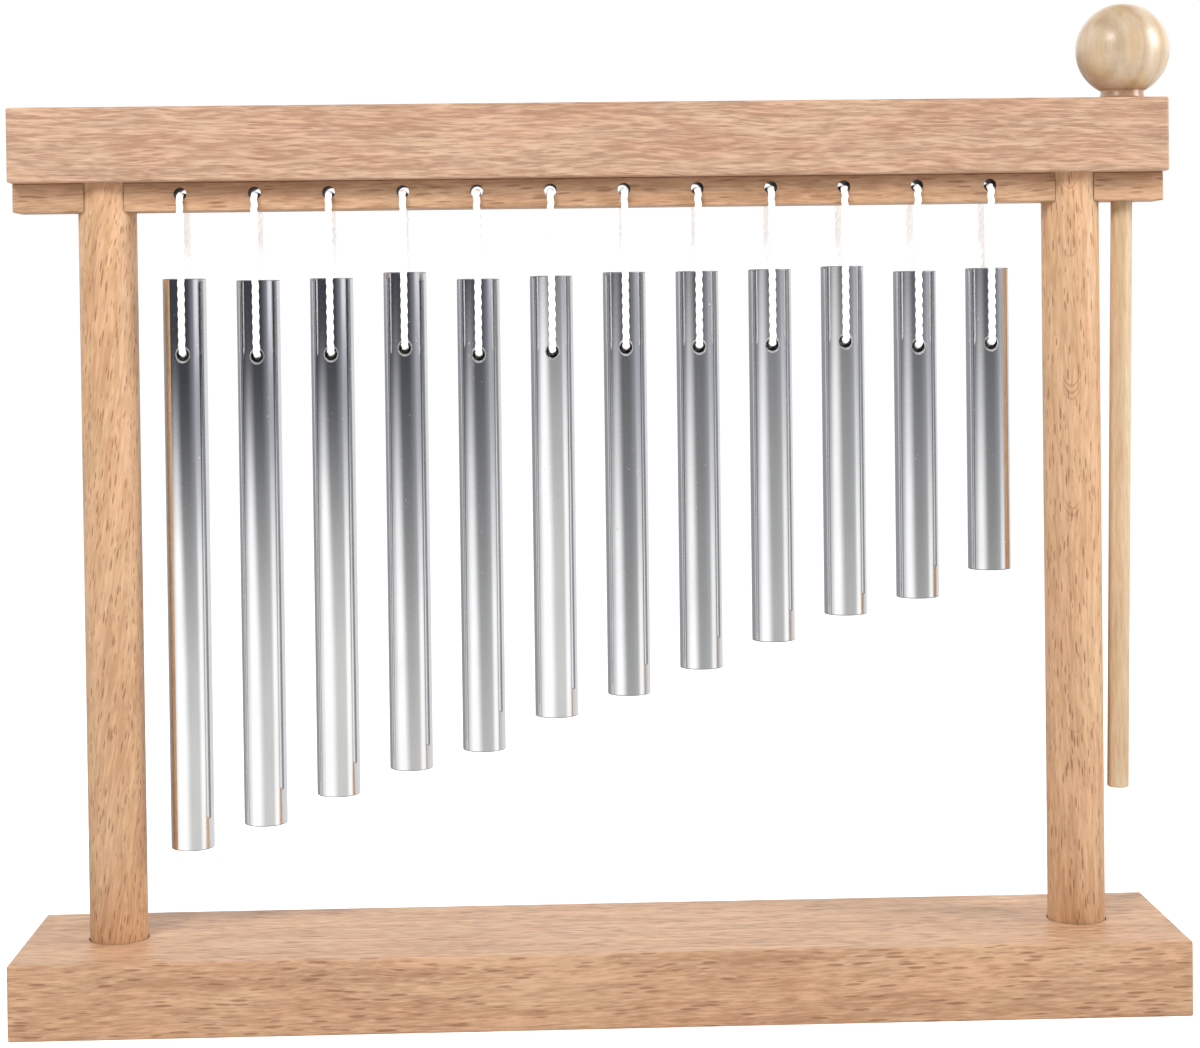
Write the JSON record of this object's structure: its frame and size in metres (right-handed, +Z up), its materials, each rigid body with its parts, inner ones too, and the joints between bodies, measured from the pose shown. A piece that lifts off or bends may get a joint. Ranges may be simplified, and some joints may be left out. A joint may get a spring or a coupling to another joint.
{
  "type": "table bar chime",
  "caption": "Tabletop bar chime: graduated metal tubes hung by cord loops from a wooden rail on a post stand, with a ball-headed mallet kept upright in the beam.",
  "frame": {"origin": "centre of the base board's underside, where the chime stands on the table", "axes": "+X runs along the row from the longest chime to the shortest and the mallet, the player sits at -Y, +Z is up"},
  "size_m": [0.3228, 0.056, 0.2781],
  "materials": {
    "beech_board": "sanded beech under a thin satin varnish",
    "beech_dowel": "sanded dowel, satin",
    "mallet_wood": "turned pale wood, polished",
    "chime_metal": "polished drawn tube",
    "white_cord": "laid cord, matte"
  },
  "bodies": {
    "stand": {"base_board": "beech_board", "post_left": "beech_dowel", "post_right": "beech_dowel", "top_beam": "beech_board", "rail_end_left": "beech_board", "hanging_rail": "beech_board", "rail_end_right": "beech_board"},
    "mallet": {"mallet_ball": "mallet_wood", "mallet_rod": "mallet_wood"},
    "sling_01": {"chime_cord_01": "white_cord"},
    "sling_02": {"chime_cord_02": "white_cord"},
    "sling_03": {"chime_cord_03": "white_cord"},
    "sling_04": {"chime_cord_04": "white_cord"},
    "sling_05": {"chime_cord_05": "white_cord"},
    "sling_06": {"chime_cord_06": "white_cord"},
    "sling_07": {"chime_cord_07": "white_cord"},
    "sling_08": {"chime_cord_08": "white_cord"},
    "sling_09": {"chime_cord_09": "white_cord"},
    "sling_10": {"chime_cord_10": "white_cord"},
    "sling_11": {"chime_cord_11": "white_cord"},
    "sling_12": {"chime_cord_12": "white_cord"},
    "chime_01": {"chime_tube_01": "chime_metal"},
    "chime_02": {"chime_tube_02": "chime_metal"},
    "chime_03": {"chime_tube_03": "chime_metal"},
    "chime_04": {"chime_tube_04": "chime_metal"},
    "chime_05": {"chime_tube_05": "chime_metal"},
    "chime_06": {"chime_tube_06": "chime_metal"},
    "chime_07": {"chime_tube_07": "chime_metal"},
    "chime_08": {"chime_tube_08": "chime_metal"},
    "chime_09": {"chime_tube_09": "chime_metal"},
    "chime_10": {"chime_tube_10": "chime_metal"},
    "chime_11": {"chime_tube_11": "chime_metal"},
    "chime_12": {"chime_tube_12": "chime_metal"}
  },
  "joints": [
    {"name": "mallet_lift", "type": "slide", "parent": "stand", "child": "mallet", "axis": [0.015, 0, 0.9999], "range_m": [0, 0.2]},
    {"name": "chime_side_swing_01", "type": "hinge", "parent": "stand", "child": "sling_01", "pos_m": [-0.1136, 0, 0.22685], "axis": [0, 1, 0], "range_deg": [-2.05, 2.05]},
    {"name": "chime_fore_swing_01", "type": "hinge", "parent": "sling_01", "child": "chime_01", "pos_m": [-0.1136, 0, 0.2226], "axis": [1, 0, 0], "range_deg": [-30, 30], "deforming": ["chime_cord_01"]},
    {"name": "chime_side_swing_02", "type": "hinge", "parent": "stand", "child": "sling_02", "pos_m": [-0.0932, 0, 0.22685], "axis": [0, 1, 0], "range_deg": [-2.6, 2.6]},
    {"name": "chime_fore_swing_02", "type": "hinge", "parent": "sling_02", "child": "chime_02", "pos_m": [-0.0932, 0, 0.2226], "axis": [1, 0, 0], "range_deg": [-30, 30], "deforming": ["chime_cord_02"]},
    {"name": "chime_side_swing_03", "type": "hinge", "parent": "stand", "child": "sling_03", "pos_m": [-0.0728, 0, 0.22685], "axis": [0, 1, 0], "range_deg": [-2.7, 2.7]},
    {"name": "chime_fore_swing_03", "type": "hinge", "parent": "sling_03", "child": "chime_03", "pos_m": [-0.0728, 0, 0.2226], "axis": [1, 0, 0], "range_deg": [-30, 30], "deforming": ["chime_cord_03"]},
    {"name": "chime_side_swing_04", "type": "hinge", "parent": "stand", "child": "sling_04", "pos_m": [-0.0524, 0, 0.22685], "axis": [0, 1, 0], "range_deg": [-2.85, 2.85]},
    {"name": "chime_fore_swing_04", "type": "hinge", "parent": "sling_04", "child": "chime_04", "pos_m": [-0.0524, 0, 0.2226], "axis": [1, 0, 0], "range_deg": [-30, 30], "deforming": ["chime_cord_04"]},
    {"name": "chime_side_swing_05", "type": "hinge", "parent": "stand", "child": "sling_05", "pos_m": [-0.032, 0, 0.22685], "axis": [0, 1, 0], "range_deg": [-2.9, 2.9]},
    {"name": "chime_fore_swing_05", "type": "hinge", "parent": "sling_05", "child": "chime_05", "pos_m": [-0.032, 0, 0.2226], "axis": [1, 0, 0], "range_deg": [-30, 30], "deforming": ["chime_cord_05"]},
    {"name": "chime_side_swing_06", "type": "hinge", "parent": "stand", "child": "sling_06", "pos_m": [-0.0116, 0, 0.22685], "axis": [0, 1, 0], "range_deg": [-3.1, 3.1]},
    {"name": "chime_fore_swing_06", "type": "hinge", "parent": "sling_06", "child": "chime_06", "pos_m": [-0.0116, 0, 0.2226], "axis": [1, 0, 0], "range_deg": [-30, 30], "deforming": ["chime_cord_06"]},
    {"name": "chime_side_swing_07", "type": "hinge", "parent": "stand", "child": "sling_07", "pos_m": [0.0088, 0, 0.22685], "axis": [0, 1, 0], "range_deg": [-3.25, 3.25]},
    {"name": "chime_fore_swing_07", "type": "hinge", "parent": "sling_07", "child": "chime_07", "pos_m": [0.0088, 0, 0.2226], "axis": [1, 0, 0], "range_deg": [-30, 30], "deforming": ["chime_cord_07"]},
    {"name": "chime_side_swing_08", "type": "hinge", "parent": "stand", "child": "sling_08", "pos_m": [0.0292, 0, 0.22685], "axis": [0, 1, 0], "range_deg": [-3.4, 3.4]},
    {"name": "chime_fore_swing_08", "type": "hinge", "parent": "sling_08", "child": "chime_08", "pos_m": [0.0292, 0, 0.2226], "axis": [1, 0, 0], "range_deg": [-30, 30], "deforming": ["chime_cord_08"]},
    {"name": "chime_side_swing_09", "type": "hinge", "parent": "stand", "child": "sling_09", "pos_m": [0.0496, 0, 0.22685], "axis": [0, 1, 0], "range_deg": [-3.6, 3.6]},
    {"name": "chime_fore_swing_09", "type": "hinge", "parent": "sling_09", "child": "chime_09", "pos_m": [0.0496, 0, 0.2226], "axis": [1, 0, 0], "range_deg": [-30, 30], "deforming": ["chime_cord_09"]},
    {"name": "chime_side_swing_10", "type": "hinge", "parent": "stand", "child": "sling_10", "pos_m": [0.07, 0, 0.22685], "axis": [0, 1, 0], "range_deg": [-3.8, 3.8]},
    {"name": "chime_fore_swing_10", "type": "hinge", "parent": "sling_10", "child": "chime_10", "pos_m": [0.07, 0, 0.2226], "axis": [1, 0, 0], "range_deg": [-30, 30], "deforming": ["chime_cord_10"]},
    {"name": "chime_side_swing_11", "type": "hinge", "parent": "stand", "child": "sling_11", "pos_m": [0.0904, 0, 0.22685], "axis": [0, 1, 0], "range_deg": [-3.95, 3.95]},
    {"name": "chime_fore_swing_11", "type": "hinge", "parent": "sling_11", "child": "chime_11", "pos_m": [0.0904, 0, 0.2226], "axis": [1, 0, 0], "range_deg": [-30, 30], "deforming": ["chime_cord_11"]},
    {"name": "chime_side_swing_12", "type": "hinge", "parent": "stand", "child": "sling_12", "pos_m": [0.1108, 0, 0.22685], "axis": [0, 1, 0], "range_deg": [-4.25, 4.25]},
    {"name": "chime_fore_swing_12", "type": "hinge", "parent": "sling_12", "child": "chime_12", "pos_m": [0.1108, 0, 0.2226], "axis": [1, 0, 0], "range_deg": [-30, 30], "deforming": ["chime_cord_12"]}
  ]
}
